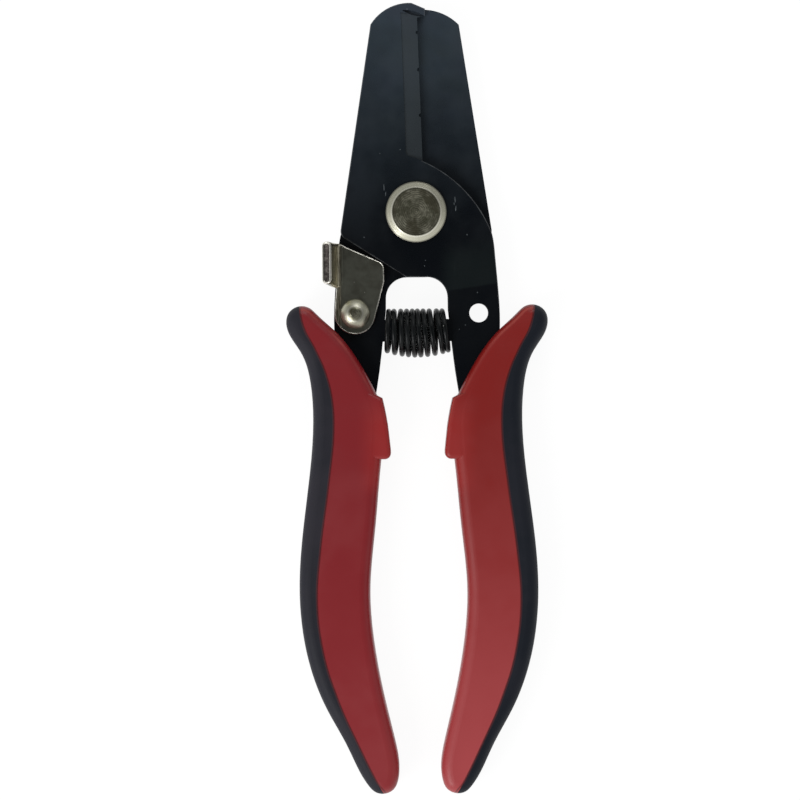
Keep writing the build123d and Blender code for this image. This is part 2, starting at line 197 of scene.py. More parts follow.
class StripperStage(bpy.types.PropertyGroup):
    """Camera, lamps and floor."""

    lens: FloatProperty(name="Lens", description="Focal length in millimetres", default=180.0, min=20.0)
    key_power: FloatProperty(name="Key lamp", description="Power of the lamp on the left, in watts",
                             default=1.5, min=0.0)
    fill_power: FloatProperty(name="Fill lamp", default=0.5, min=0.0,
                              description="Power of the lamp beyond the jaws, in watts")
    room_light: FloatProperty(name="Room light", description="Even light from all round", default=0.6,
                              min=0.0)
    floor_gap: length_setting("Floor gap", "How far the floor lies below the grips", 0.05 * MM)


def put(tree, kind, values=None, **settings):
    """Adds a node. Values are linked or written to its inputs, settings are its own switches."""
    node = tree.nodes.new(kind)
    for name, value in settings.items():
        setattr(node, name, value)
    for key, value in (values or {}).items():
        if isinstance(value, bpy.types.NodeSocket):
            tree.links.new(value, node.inputs[key])
        else:
            node.inputs[key].default_value = value
    return node


def reckon(tree, operation, *values):
    """A Math node's result."""
    return put(tree, "ShaderNodeMath", dict(enumerate(values)), operation=operation).outputs[0]


def times(tree, first, second):
    """The product of two values."""
    return reckon(tree, "MULTIPLY", first, second)


def ramp(tree, value, start, end, low=0.0, high=1.0, smooth=True):
    """Value carried from the span start to end onto low to high, clamped."""
    kind = "SMOOTHSTEP" if smooth else "LINEAR"
    return put(tree, "ShaderNodeMapRange", {0: value, 1: start, 2: end, 3: low, 4: high},
               interpolation_type=kind, clamp=True).outputs[0]


def mix(tree, share, first, second, blend_type="MIX"):
    """Two colours mixed by a share."""
    return put(tree, "ShaderNodeMix", {0: share, 6: first, 7: second}, data_type="RGBA",
               blend_type=blend_type, clamp_factor=True).outputs[2]


def layer(tree, under, mask, strength, colour):
    """A colour laid over another by a mask times a strength."""
    return mix(tree, times(tree, mask, strength), under, colour)


def opaque(colour):
    """A colour property as four numbers."""
    return (*colour, 1.0)


def new_group(name, inputs, outputs):
    """An empty shader node group with named float inputs and outputs."""
    tree = bpy.data.node_groups.new(name, "ShaderNodeTree")
    for socket, default in inputs:
        tree.interface.new_socket(name=socket, in_out="INPUT",
                                  socket_type="NodeSocketFloat").default_value = default
    for socket in outputs:
        tree.interface.new_socket(name=socket, in_out="OUTPUT", socket_type="NodeSocketFloat")
    return tree, tree.nodes.new("NodeGroupInput").outputs, tree.nodes.new("NodeGroupOutput").inputs


def place(tree):
    """The piece's own coordinates as X, Y and Z, in metres."""
    coordinates = put(tree, "ShaderNodeTexCoord").outputs["Object"]
    parts = put(tree, "ShaderNodeSeparateXYZ", {0: coordinates}).outputs
    return coordinates, parts


def noise(tree, coordinates, scale, detail=2.0, roughness=0.5):
    """A noise's value at a place."""
    return put(tree, "ShaderNodeTexNoise", {"Vector": coordinates, "Scale": scale, "Detail": detail,
                                            "Roughness": roughness}).outputs["Fac"]


def upright_share(tree):
    """How far a face lies flat, whichever way up: the size of its normal's Z."""
    normal = put(tree, "ShaderNodeNewGeometry").outputs["Normal"]
    return reckon(tree, "ABSOLUTE", put(tree, "ShaderNodeSeparateXYZ", {0: normal}).outputs[2])


def above_pivot(tree, parts):
    """Distance towards the jaws from the pivot's axis, in metres."""
    return reckon(tree, "SUBTRACT", parts[1], float(PIVOT[1]))


def build_slow_tone():
    """Broad, soft patches of tone: two noises of different size added."""
    tree, given, result = new_group("Slow tone", [("Size", 90.0)], ["Tone"])
    coordinates, _ = place(tree)
    broad = noise(tree, coordinates, given["Size"], 3.0)
    finer = times(tree, given["Size"], 4.3)
    both = reckon(tree, "MULTIPLY_ADD", noise(tree, coordinates, finer, 4.0), 0.35, broad)
    tree.links.new(ramp(tree, both, 0.45, 0.9), result["Tone"])
    return tree


def build_specks():
    """Sparse bright specks: the middles of a few cells of a Voronoi pattern."""
    tree, given, result = new_group("Dust specks", [("Size", 700.0), ("Share", 0.04)], ["Mask"])
    coordinates, _ = place(tree)
    cells = put(tree, "ShaderNodeTexVoronoi", {"Vector": coordinates, "Scale": given["Size"]})
    lucky = put(tree, "ShaderNodeSeparateColor", {0: cells.outputs["Color"]}).outputs[0]
    chosen = reckon(tree, "LESS_THAN", lucky, given["Share"])
    middle = ramp(tree, cells.outputs["Distance"], 0.16, 0.05)
    tree.links.new(times(tree, middle, chosen), result["Mask"])
    return tree


def build_scratches():
    """Fine scratches: noise stretched along one direction and cut to thin lines."""
    tree, given, result = new_group("Fine scratches", [("Angle", 0.0), ("Size", 260.0), ("Amount", 0.5)],
                                    ["Mask", "Height"])
    coordinates, _ = place(tree)
    turned = put(tree, "ShaderNodeVectorRotate", {"Vector": coordinates, "Angle": given["Angle"]},
                 rotation_type="Z_AXIS").outputs[0]
    long = put(tree, "ShaderNodeVectorMath", {0: turned, 1: (14.0, 0.7, 14.0)},
               operation="MULTIPLY").outputs[0]
    lines = noise(tree, long, given["Size"], 5.0, 0.65)
    patches = noise(tree, coordinates, 150.0)
    level = times(tree, reckon(tree, "SUBTRACT", 1.0, given["Amount"]), 0.16)
    start = reckon(tree, "ADD", level, 0.58)
    end = reckon(tree, "ADD", start, 0.07)
    thin = put(tree, "ShaderNodeMapRange", {0: lines, 1: start, 2: end}, clamp=True).outputs[0]
    mask = times(tree, thin, ramp(tree, patches, 0.4, 0.62))
    tree.links.new(mask, result["Mask"])
    tree.links.new(lines, result["Height"])
    return tree


def build_worn_and_highlit_edges():
    """Worn chamfers with painted chamfer highlights: strong where the surface leans between flat and
    upright, broken by noise.
    """
    tree, given, result = new_group("Worn and highlit edges", [("Wear", 0.6)], ["Mask"])
    coordinates, _ = place(tree)
    upright = upright_share(tree)
    leaning = times(tree, ramp(tree, upright, 0.25, 0.55), ramp(tree, upright, 0.97, 0.85))
    broken = noise(tree, coordinates, 420.0, 4.0)
    start = reckon(tree, "SUBTRACT", 0.75, times(tree, given["Wear"], 0.5))
    end = reckon(tree, "ADD", start, 0.18)
    patches = put(tree, "ShaderNodeMapRange", {0: broken, 1: start, 2: end}, clamp=True).outputs[0]
    tree.links.new(times(tree, leaning, patches), result["Mask"])
    return tree


def build_fine_grain():
    """Fine even grain, as on moulded plastic or oxide: one dense noise."""
    tree, given, result = new_group("Fine grain", [("Size", 3500.0)], ["Height"])
    coordinates, _ = place(tree)
    tree.links.new(noise(tree, coordinates, given["Size"], 3.0, 0.6), result["Height"])
    return tree


def build_turned_rings():
    """Turning marks round an axis along Z at the place X, Y: a sine of the distance from it."""
    tree, given, result = new_group("Turned rings", [("X", 0.0), ("Y", 0.0), ("Rings", 9000.0)],
                                    ["Height", "Distance"])
    coordinates, parts = place(tree)
    across = reckon(tree, "SUBTRACT", parts[0], given["X"])
    along = reckon(tree, "SUBTRACT", parts[1], given["Y"])
    squares = reckon(tree, "MULTIPLY_ADD", across, across, times(tree, along, along))
    distance = reckon(tree, "SQRT", squares)
    wander = noise(tree, coordinates, 900.0)
    phase = reckon(tree, "MULTIPLY_ADD", distance, given["Rings"], times(tree, wander, 8.0))
    wave = reckon(tree, "SINE", phase)
    tree.links.new(wave, result["Height"])
    tree.links.new(distance, result["Distance"])
    return tree


def build_beside_seam():
    """Distance outwards from the grips' seam, in millimetres: the half width less the seam's
    half width at that height, which a curve through the seam's points gives."""
    tree, _, result = new_group("Beside the seam", [], ["Distance"])
    _, parts = place(tree)
    depth = reckon(tree, "DIVIDE", above_pivot(tree, parts), MM)
    share = ramp(tree, depth, SEAM_FOOT, SEAM_TOP, smooth=False)
    curve = put(tree, "ShaderNodeFloatCurve", {"Value": share})
    points = curve.mapping.curves[0].points
    ends = sorted(((y - SEAM_FOOT) / (SEAM_TOP - SEAM_FOOT), x / SEAM_WIDEST) for x, y in SEAM)
    inside = [point for point in ends if 0.0 < point[0] < 1.0]
    points[0].location = (0.0, ends[0][1])
    points[-1].location = (1.0, ends[-1][1])
    for place_on_curve in inside:
        points.new(*place_on_curve)
    curve.mapping.update()
    half_width = reckon(tree, "DIVIDE", reckon(tree, "ABSOLUTE", parts[0]), MM)
    seam = times(tree, curve.outputs[0], SEAM_WIDEST)
    tree.links.new(reckon(tree, "SUBTRACT", half_width, seam), result["Distance"])
    return tree


GROUP_BUILDERS = {
    "Slow tone": build_slow_tone,
    "Dust specks": build_specks,
    "Fine scratches": build_scratches,
    "Worn and highlit edges": build_worn_and_highlit_edges,
    "Fine grain": build_fine_grain,
    "Turned rings": build_turned_rings,
    "Beside the seam": build_beside_seam,
}


def use_group(tree, name, **values):
    """Places a shared effect in a material with its own values. It is built at its first use."""
    shared = bpy.data.node_groups.get(name) or GROUP_BUILDERS[name]()
    node = tree.nodes.new("ShaderNodeGroup")
    node.node_tree = shared
    for key, value in values.items():
        socket = node.inputs[key.replace("_", " ").capitalize() if key not in ("X", "Y") else key]
        if isinstance(value, bpy.types.NodeSocket):
            tree.links.new(value, socket)
        else:
            socket.default_value = value
    return node.outputs


def empty_tree(owner):
    """The emptied node tree of a material or a world."""
    owner.use_nodes = True
    owner.node_tree.nodes.clear()
    return owner.node_tree


def start_material(name, **plain):
    """A new material with a Principled shader whose plain sockets are set."""
    material = bpy.data.materials.new(name)
    tree = empty_tree(material)
    shader = put(tree, "ShaderNodeBsdfPrincipled")
    for socket, value in plain.items():
        shader.inputs[socket.replace("_", " ")].default_value = value
    output = put(tree, "ShaderNodeOutputMaterial")
    tree.links.new(shader.outputs[0], output.inputs["Surface"])
    return material, tree, shader


def feed(tree, shader, **links):
    """Links results into the shader's sockets."""
    for socket, value in links.items():
        tree.links.new(value, shader.inputs[socket.replace("_", " ")])


def bump(tree, height, strength, distance, after=None):
    """A Bump node's normal."""
    values = {"Height": height, "Strength": strength, "Distance": distance}
    if after is not None:
        values["Normal"] = after
    return put(tree, "ShaderNodeBump", values).outputs[0]


def black_oxide():
    """Blue-black oxide on ground steel: lighter towards the tips and, as painted light, lighter on the
    left;
    greyer in the ground reliefs as ground steel and painted light, with painted highlights and wear on
    its chamfers, fine scratches and dust."""
    look = bpy.context.scene.stripper_finishes
    material, tree, shader = start_material("black_oxide", Metallic=0.0, IOR=1.45)
    _, parts = place(tree)
    height = above_pivot(tree, parts)
    tone = use_group(tree, "Slow tone", Size=70.0)["Tone"]
    wander = reckon(tree, "MULTIPLY_ADD", reckon(tree, "SUBTRACT", tone, 0.5), 0.009, height)
    upwards = reckon(tree, "POWER", ramp(tree, wander, -0.009, 0.042, smooth=False), 1.6)
    # Painted light: the oxide is made lighter towards the left, the side the key lamp lights.
    left = ramp(tree, parts[0], 0.012, -0.016, 0.88, 1.06, smooth=False)
    colour = mix(tree, times(tree, upwards, left), opaque(look.oxide_dark),
                 opaque(look.oxide_light))
    cool = use_group(tree, "Slow tone", Size=110.0)["Tone"]
    colour = mix(tree, times(tree, cool, times(tree, upwards, 0.3)), colour,
                 (0.03, 0.037, 0.03, 1.0))
    violet = use_group(tree, "Slow tone", Size=58.0)["Tone"]
    colour = mix(tree, times(tree, violet, times(tree, upwards, 0.28)), colour,
                 (0.03, 0.028, 0.05, 1.0))
    slope = reckon(tree, "MULTIPLY_ADD", parts[0], -0.146, height)
    dipped = times(tree, ramp(tree, slope, -0.0180, -0.0175), ramp(tree, slope, -0.006, -0.013))
    dipped = times(tree, dipped, ramp(tree, parts[0], 0.004, 0.008))
    colour = layer(tree, colour, dipped, 0.16, (0.022, 0.038, 0.034, 1.0))
    flat = reckon(tree, "GREATER_THAN", upright_share(tree), 0.96)
    from_middle = reckon(tree, "ABSOLUTE", reckon(tree, "SUBTRACT", parts[2], float(PIVOT[2])))
    below_face = reckon(tree, "SUBTRACT", PLATE_FACE - float(PIVOT[2]), from_middle)
    sunk = times(tree, ramp(tree, below_face, 0.08 * MM, 0.13 * MM),
                  ramp(tree, below_face, 0.9 * MM, 0.75 * MM))
    # Partly painted light: the sunk ground reliefs are made lighter, for bare ground steel and for the
    # light their tilt catches.
    ground_and_lit = times(tree, flat, times(tree, sunk, ramp(tree, height, 0.008, 0.010)))
    colour = layer(tree, colour, ground_and_lit, 0.45, (0.046, 0.055, 0.06, 1.0))
    # Painted highlight and wear: lighter steel on the chamfers, where faces lean.
    worn_and_highlit = use_group(tree, "Worn and highlit edges", Wear=0.6)["Mask"]
    colour = layer(tree, colour, worn_and_highlit, 0.22, opaque(look.worn_steel_and_highlight))
    scratch = use_group(tree, "Fine scratches", Angle=0.12, Size=190.0, Amount=0.62)
    colour = layer(tree, colour, scratch["Mask"], 0.05, (0.11, 0.125, 0.14, 1.0))
    specks = use_group(tree, "Dust specks", Size=620.0, Share=0.012)["Mask"]
    colour = layer(tree, colour, specks, 0.3, (0.2, 0.22, 0.25, 1.0))
    roughness = ramp(tree, tone, 0.0, 1.0, 0.26, 0.34)
    grain = use_group(tree, "Fine grain", Size=2600.0)["Height"]
    relief = bump(tree, grain, 0.08, 0.03 * MM)
    relief = bump(tree, scratch["Mask"], 0.12, 0.01 * MM, relief)
    feed(tree, shader, Base_Color=colour, Roughness=roughness, Normal=relief)
    return material


def turned_nickel(name, centre, face_height, head):
    """Dull nickel plate on a turned head: clean ring with a painted highlight on its inner lip and
    painted shade on its outer edge, and a mottled, ringed and stained face inside it."""
    face_radius, edge_radius, polish = head
    look = bpy.context.scene.stripper_finishes
    material, tree, shader = start_material(name, Metallic=1.0)
    _, parts = place(tree)
    rings = use_group(tree, "Turned rings", X=float(centre[0]), Y=float(centre[1]), Rings=15000.0)
    tone = use_group(tree, "Slow tone", Size=300.0)["Tone"]
    scratch = use_group(tree, "Fine scratches", Angle=0.7, Size=420.0, Amount=0.9)
    face = times(tree, ramp(tree, rings["Distance"], face_radius, face_radius - 0.25 * MM),
                  ramp(tree, parts[2], face_height - 0.2 * MM, face_height - 0.1 * MM))
    mottled = mix(tree, ramp(tree, tone, 0.1, 0.9), (0.98, 0.96, 0.74, 1.0), opaque(look.nickel_stain))
    gaps = use_group(tree, "Slow tone", Size=620.0)["Tone"]
    lines = times(tree, ramp(tree, rings["Height"], -0.3, 0.8), ramp(tree, gaps, 0.1, 0.6, 0.3, 1.0))
    mottled = layer(tree, mottled, lines, 0.55, (0.12, 0.11, 0.075, 1.0))
    stain = ramp(tree, use_group(tree, "Slow tone", Size=210.0)["Tone"], 0.55, 0.85)
    mottled = layer(tree, mottled, stain, 0.35, (0.2, 0.16, 0.1, 1.0))
    mottled = layer(tree, mottled, scratch["Mask"], 0.55, (0.9, 0.88, 0.8, 1.0))
    colour = mix(tree, face, opaque(look.nickel), mottled)
    past_face = reckon(tree, "SUBTRACT", rings["Distance"], face_radius + 0.2 * MM)
    lip_place = reckon(tree, "ABSOLUTE", past_face)
    # Painted highlight: a bright ring on the head's inner lip, where its bevel catches the light.
    lip_highlight = ramp(tree, lip_place, 0.16 * MM, 0.04 * MM)
    colour = layer(tree, colour, lip_highlight, 0.6, (0.95, 0.93, 0.84, 1.0))
    # Painted shade: the head is darkened at its outer edge, where it turns down to the plate.
    edge = ramp(tree, rings["Distance"], edge_radius - 0.35 * MM, edge_radius - 0.1 * MM)
    colour = layer(tree, colour, edge, 0.7, (0.12, 0.115, 0.1, 1.0))
    rim_tone = use_group(tree, "Slow tone", Size=150.0)["Tone"]
    colour = layer(tree, colour, rim_tone, 0.2, opaque(look.nickel_stain))
    roughness = mix(tree, face, (polish, polish, polish, 1.0), (0.36, 0.36, 0.36, 1.0))
    rub = use_group(tree, "Slow tone", Size=1500.0)["Tone"]
    colour = mix(tree, times(tree, face, ramp(tree, rub, 0.3, 0.8, 0.0, 0.4)), colour,
                 (0.2, 0.19, 0.13, 1.0))
    relief = bump(tree, rings["Height"], 0.35, 0.006 * MM)
    relief = bump(tree, tone, 0.3, 0.05 * MM, relief)
    relief = bump(tree, scratch["Mask"], 0.4, 0.012 * MM, relief)
    feed(tree, shader, Base_Color=colour, Roughness=roughness, Normal=relief)
    return material


def stamped_nickel():
    """Nickel plate on the stamped catch: dull face, bright burr, streaked bend, torn tab end."""
    material, tree, shader = start_material("stamped_nickel", Metallic=1.0)
    coordinates, parts = place(tree)
    tone = use_group(tree, "Slow tone", Size=260.0)["Tone"]
    colour = mix(tree, tone, (0.39, 0.4, 0.33, 1.0), (0.25, 0.25, 0.2, 1.0))
    scratch = use_group(tree, "Fine scratches", Angle=1.2, Size=330.0, Amount=0.7)
    colour = layer(tree, colour, scratch["Mask"], 0.3, (0.75, 0.74, 0.66, 1.0))
    specks = use_group(tree, "Dust specks", Size=900.0, Share=0.05)["Mask"]
    colour = mix(tree, specks, colour, (0.95, 0.93, 0.85, 1.0))
    streaks = use_group(tree, "Fine scratches", Angle=0.0, Size=420.0, Amount=1.0)["Height"]
    bend = times(tree, ramp(tree, parts[0], -0.0185, -0.0179), ramp(tree, parts[0], -0.0158, -0.0164))
    streaked = mix(tree, ramp(tree, streaks, 0.42, 0.58), (0.2, 0.17, 0.11, 1.0),
                   (0.95, 0.88, 0.66, 1.0))
    colour = layer(tree, colour, bend, 0.8, streaked)
    rim = put(tree, "ShaderNodeAttribute", attribute_name="rim").outputs["Fac"]
    colour = mix(tree, rim, colour, (0.95, 0.93, 0.85, 1.0))
    torn = noise(tree, coordinates, 1300.0, 5.0, 0.7)
    broken = mix(tree, ramp(tree, torn, 0.4, 0.7), (0.1, 0.085, 0.08, 1.0), (0.36, 0.33, 0.3, 1.0))
    end = put(tree, "ShaderNodeAttribute", attribute_name="torn").outputs["Fac"]
    colour = mix(tree, end, colour, broken)
    roughness = mix(tree, end, (0.34, 0.34, 0.34, 1.0), (0.6, 0.6, 0.6, 1.0))
    relief = bump(tree, times(tree, end, torn), 0.7, 0.12 * MM)
    relief = bump(tree, tone, 0.2, 0.06 * MM, relief)
    relief = bump(tree, use_group(tree, "Fine grain", Size=2200.0)["Height"], 0.15, 0.02 * MM, relief)
    feed(tree, shader, Base_Color=colour, Roughness=roughness, Normal=relief)
    return material


def lacquered_wire():
    """Black lacquer on spring wire: soft gloss in slow patches, with a few specks of dust."""
    look = bpy.context.scene.stripper_finishes
    material, tree, shader = start_material("lacquered_wire", Metallic=0.0, IOR=1.32)
    tone = use_group(tree, "Slow tone", Size=240.0)["Tone"]
    colour = mix(tree, tone, opaque(look.wire_black), (0.008, 0.0095, 0.01, 1.0))
    specks = use_group(tree, "Dust specks", Size=900.0, Share=0.012)["Mask"]
    colour = mix(tree, specks, colour, (0.3, 0.3, 0.28, 1.0))
    roughness = ramp(tree, tone, 0.0, 1.0, 0.24, 0.34)
    relief = bump(tree, use_group(tree, "Fine grain", Size=1100.0)["Height"], 0.1, 0.02 * MM)
    feed(tree, shader, Base_Color=colour, Roughness=roughness, Normal=relief)
    return material


def red_moulding():
    """Hard red moulding with painted light: a painted sheen paler towards the toes and on the right and
    on the clip, a thin painted highlight on the lip above a painted shade in the mouth on the upper
    grip; and a dark line at the seam."""
    look = bpy.context.scene.stripper_finishes
    material, tree, shader = start_material("red_moulding", Metallic=0.0, IOR=1.46)
    _, parts = place(tree)
    tone = use_group(tree, "Slow tone", Size=45.0)["Tone"]
    # Painted sheen: the red is made paler towards the toes and on the right, broken by a little random
    # tone.
    down = ramp(tree, parts[1], float(PIVOT[1]) - 0.054, float(PIVOT[1]) - 0.118, smooth=False)
    right = ramp(tree, parts[0], -0.006, 0.012, 0.28, 1.0)
    pale = times(tree, times(tree, down, right), 0.9)
    pale = reckon(tree, "MULTIPLY_ADD", reckon(tree, "SUBTRACT", tone, 0.5), 0.12, pale)
    crimson = times(tree, ramp(tree, parts[0], 0.002, -0.01), 0.6)
    deep = mix(tree, crimson, opaque(look.grip_red), opaque(look.grip_crimson))
    colour = mix(tree, pale, deep, opaque(look.grip_red_sheen))
    height = above_pivot(tree, parts)
    half_width = reckon(tree, "ABSOLUTE", parts[0])
    # Painted light: the clip is made paler towards the grip's inner edge, as its bend is lit.
    clip = times(tree, ramp(tree, height, -0.061, -0.057), ramp(tree, height, -0.036, -0.046))
    clip = times(tree, clip, ramp(tree, half_width, 0.0135, 0.0075))
    colour = layer(tree, colour, clip, 0.6, (0.36, 0.022, 0.02, 1.0))
    upright = upright_share(tree)
    upper = ramp(tree, height, -0.05, -0.04)
    # Painted highlight: a thin pale line on the rounded edge of the mouth on the upper grip, broken by
    # tone.
    lip_highlight = times(tree, ramp(tree, upright, 0.62, 0.7), ramp(tree, upright, 0.88, 0.78))
    lip_highlight = times(tree, times(tree, lip_highlight, upper), ramp(tree, tone, 0.2, 0.6, 0.08, 0.3))
    colour = mix(tree, lip_highlight, colour, (0.55, 0.12, 0.09, 1.0))
    # Painted shade: the steep walls of the mouth on the upper grip are darkened.
    mouth_shade = times(tree, ramp(tree, upright, 0.6, 0.4), upper)
    colour = layer(tree, colour, mouth_shade, 0.35, (0.16, 0.006, 0.006, 1.0))
    away = use_group(tree, "Beside the seam")["Distance"]
    at_seam = ramp(tree, reckon(tree, "ABSOLUTE", away), 0.32, 0.08)
    colour = layer(tree, colour, at_seam, 0.65, (0.05, 0.006, 0.008, 1.0))
    specks = use_group(tree, "Dust specks", Size=260.0, Share=0.012)["Mask"]
    colour = layer(tree, colour, specks, 0.5, (0.8, 0.5, 0.5, 1.0))
    roughness = ramp(tree, tone, 0.0, 1.0, 0.3, 0.4)
    relief = bump(tree, use_group(tree, "Fine grain", Size=1500.0)["Height"], 0.1, 0.03 * MM)
    relief = bump(tree, at_seam, -0.4, 0.08 * MM, relief)
    feed(tree, shader, Base_Color=colour, Roughness=roughness, Normal=relief)
    return material


def black_moulding():
    """Soft charcoal moulding: satin, paler on the left as painted light from that side and in random
    dusty patches, with a line of red rubbed off at the seam.
    """
    look = bpy.context.scene.stripper_finishes
    material, tree, shader = start_material("black_moulding", Metallic=0.0, IOR=1.33)
    _, parts = place(tree)
    tone = use_group(tree, "Slow tone", Size=60.0)["Tone"]
    # Painted light: the black is made paler towards the left, the lit side, with random dusty patches on
    # top.
    left = ramp(tree, parts[0], 0.004, -0.016, 0.0, 0.45)
    dusty_and_lit = reckon(tree, "MULTIPLY_ADD", reckon(tree, "SUBTRACT", tone, 0.5), 0.3, left)
    colour = mix(tree, dusty_and_lit, opaque(look.grip_black), opaque(look.grip_black_pale))
    away = use_group(tree, "Beside the seam")["Distance"]
    at_seam = ramp(tree, reckon(tree, "ABSOLUTE", away), 0.4, 0.1)
    colour = layer(tree, colour, at_seam, 0.45, (0.14, 0.018, 0.02, 1.0))
    specks = use_group(tree, "Dust specks", Size=800.0, Share=0.02)["Mask"]
    colour = layer(tree, colour, specks, 0.2, (0.3, 0.29, 0.28, 1.0))
    roughness = ramp(tree, tone, 0.0, 1.0, 0.55, 0.68)
    relief = bump(tree, use_group(tree, "Fine grain", Size=1100.0)["Height"], 0.3, 0.05 * MM)
    feed(tree, shader, Base_Color=colour, Roughness=roughness, Normal=relief)
    return material


def bare_scuff():
    """Bare, scraped steel in the scuffs and specks on the plates."""
    material, tree, shader = start_material("bare_scuff", Metallic=0.0, IOR=1.45)
    tone = use_group(tree, "Slow tone", Size=900.0)["Tone"]
    colour = mix(tree, tone, (0.1, 0.115, 0.125, 1.0), (0.03, 0.038, 0.045, 1.0))
    roughness = ramp(tree, tone, 0.0, 1.0, 0.4, 0.6)
    feed(tree, shader, Base_Color=colour, Roughness=roughness)
    return material


def dress(node, material):
    """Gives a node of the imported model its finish."""
    piece = frame["nodes"][node]
    piece.data.materials.clear()
    piece.data.materials.append(material)


def make_piece(name, points, quads, material, triangles=()):
    """A new mesh object at the origin from arrays of points, quads and triangles."""
    mesh = bpy.data.meshes.new(name)
    mesh.from_pydata(points.tolist(), [], [*quads.tolist(), *[list(face) for face in triangles]])
    mesh.polygons.foreach_set("use_smooth", np.ones(len(mesh.polygons), dtype=bool))
    mesh.materials.append(material)
    mesh.update()
    piece = bpy.data.objects.new(name, mesh)
    bpy.context.scene.collection.objects.link(piece)
    return piece


def spring_line(steps_per_turn):
    """Centre line of the spring's wire, and the outward direction at each point.

    The wire goes round the X axis: Y is the axis height plus r cos(t) and Z the middle plus
    r sin(t). X is where the coils cross the front, smoothly between crossings, times one less
    cos(t) r tan(tilt) over the seat's distance, so that the coils fan. r and the axis bow are
    parabolas of the place along the spring.
    """
    turns = len(COIL_FRONTS)
    angle = np.linspace(0.0, 2 * np.pi * turns, turns * steps_per_turn + 1) - np.pi / 2
    half = SPRING_SEAT[0] - SPRING_END_INSET
    crossings = np.concatenate((angle[:1], np.pi / 2 + 2 * np.pi * np.arange(turns), angle[-1:]))
    fronts = np.concatenate(([-half], np.clip(COIL_FRONTS, -half, half), [half]))
    across = np.interp(angle, crossings, fronts)
    width = steps_per_turn // 2
    padded = np.concatenate((np.full(width, across[0]), across, np.full(width, across[-1])))
    kernel = np.hanning(2 * width + 1)
    along = np.convolve(padded, kernel / kernel.sum(), mode="valid")
    belly = 1.0 - (along / half) ** 2
    radius = SPRING_RADII[0] + (SPRING_RADII[1] - SPRING_RADII[0]) * belly
    fan = 1.0 - np.cos(angle) * radius * np.tan(np.radians(SPRING_TILT)) / SPRING_SEAT[0]
    centre = np.stack((along * fan, SPRING_SEAT[1] - SPRING_BOW * belly + radius * np.cos(angle),
                       radius * np.sin(angle)), axis=1)
    outward = np.stack((np.zeros_like(angle), np.cos(angle), np.sin(angle)), axis=1)
    return PIVOT + centre * MM, outward


def sweep_wire(centre, outward, radius, sides):
    """Skin of a wire along a line: each ring is the circle of the wire's radius square to the
    line, turned from the outward direction. Both ends are closed by a small flat disc."""
    tangent = np.gradient(centre, axis=0)
    tangent /= np.linalg.norm(tangent, axis=1, keepdims=True)
    first = outward - tangent * np.sum(outward * tangent, axis=1, keepdims=True)
    first /= np.linalg.norm(first, axis=1, keepdims=True)
    second = np.cross(tangent, first)
    turn = np.linspace(0.0, 2 * np.pi, sides, endpoint=False)
    rings = (centre[:, None, :] + radius * (np.cos(turn)[None, :, None] * first[:, None, :]
                                            + np.sin(turn)[None, :, None] * second[:, None, :]))
    points = rings.reshape(-1, 3)
    row = np.arange(len(centre) - 1)[:, None] * sides
    column = np.arange(sides)[None, :]
    beside = (column + 1) % sides
    quads = np.stack((row + column, row + beside, row + sides + beside, row + sides + column), axis=-1)
    points = np.concatenate((points, centre[:1], centre[-1:]))
    start_hub, end_hub = len(points) - 2, len(points) - 1
    last = (len(centre) - 1) * sides
    column, beside = column[0], beside[0]
    caps = [*zip(np.full(sides, start_hub).tolist(), beside.tolist(), column.tolist()),
            *zip(np.full(sides, end_hub).tolist(), (last + column).tolist(), (last + beside).tolist())]
    return points, quads.reshape(-1, 4), caps


def scuff_marks(marks, face, height):
    """Low lens-shaped burrs on a flat face: rings at 1 and 0.6 of an ellipse round a raised
    middle, one ellipse for each mark of place, half length, half width and lean."""
    marks = np.asarray(marks, dtype=float)
    turn = np.linspace(0.0, 2 * np.pi, 12, endpoint=False)
    lean = np.radians(marks[:, 4])[:, None]
    long, wide = marks[:, 2:3] * np.cos(turn), marks[:, 3:4] * np.sin(turn)
    across = wide * np.cos(lean) - long * np.sin(lean)
    along = wide * np.sin(lean) + long * np.cos(lean)
    shape = np.stack((across, along), axis=-1)
    place_on_face = marks[:, None, :2]
    level = np.ones(shape.shape[:2] + (1,))
    outer = np.concatenate((place_on_face + shape, 0.0 * level), axis=-1)
    inner = np.concatenate((place_on_face + 0.6 * shape, height / MM * level), axis=-1)
    middle = np.concatenate((place_on_face, np.full((len(marks), 1, 1), height / MM)), axis=-1)
    rows = np.concatenate((outer, inner, middle), axis=1) * MM
    rows[..., 1] += PIVOT[1]
    rows[..., 2] += face
    count = len(turn)
    base = np.arange(len(marks))[:, None] * (2 * count + 1)
    column = np.arange(count)[None, :]
    beside = (column + 1) % count
    quads = np.stack((base + beside, base + column, base + count + column, base + count + beside),
                     axis=-1)
    hub = base + 2 * count + 0 * column
    tops = np.stack((hub, base + count + beside, base + count + column), axis=-1)
    return rows.reshape(-1, 3), quads.reshape(-1, 4), tops.reshape(-1, 3).tolist()


